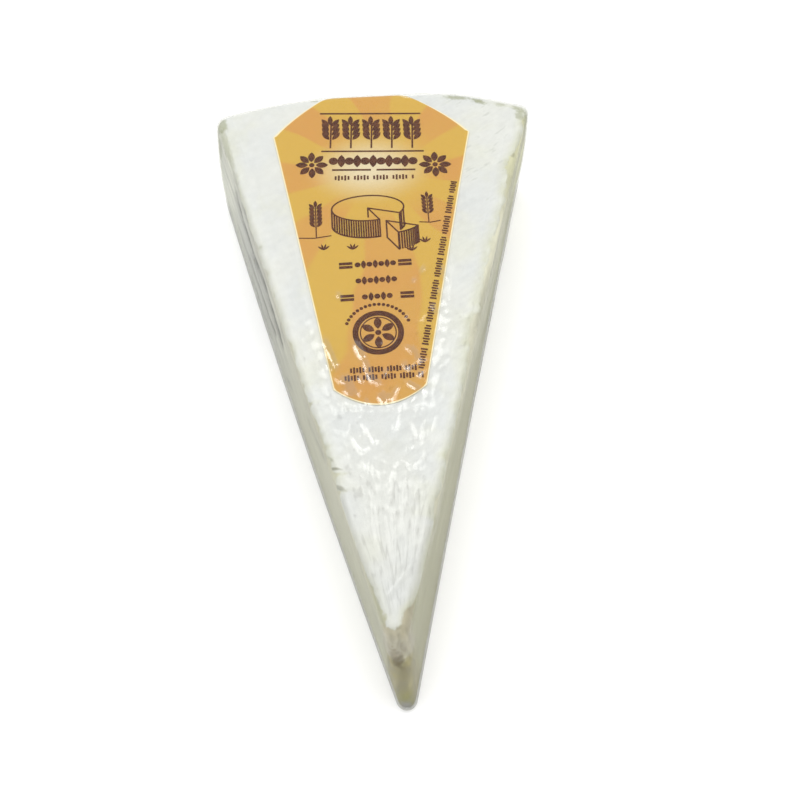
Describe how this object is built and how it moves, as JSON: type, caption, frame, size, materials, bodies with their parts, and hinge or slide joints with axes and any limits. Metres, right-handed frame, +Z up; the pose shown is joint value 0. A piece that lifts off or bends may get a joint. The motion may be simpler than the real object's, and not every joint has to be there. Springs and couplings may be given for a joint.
{
  "type": "wrapped brie wedge",
  "caption": "Long wedge of soft white-rind cheese cut from a large wheel, with a paper label on top, in tight clear film.",
  "frame": {"origin": "middle of the wrapped wedge's footprint, on the flat underside it rests on", "axes": "+Y from the point to the curved heel, the longest way; +Z up through the wheel's height, the shortest way; +X to the right seen from the point"},
  "size_m": [0.0882, 0.1642, 0.0355],
  "materials": {
    "rind": "soft matte white mould rind, pale olive paste on the cut faces",
    "label_paper": "printed paper, golden yellow and orange fields with dark brown print",
    "clear_wrap": "thin clear glossy food film with fine wrinkles"
  },
  "bodies": {
    "root": {"cheese_wedge": "rind", "paper_label": "label_paper", "film_wrap": "clear_wrap"}
  },
  "joints": []
}
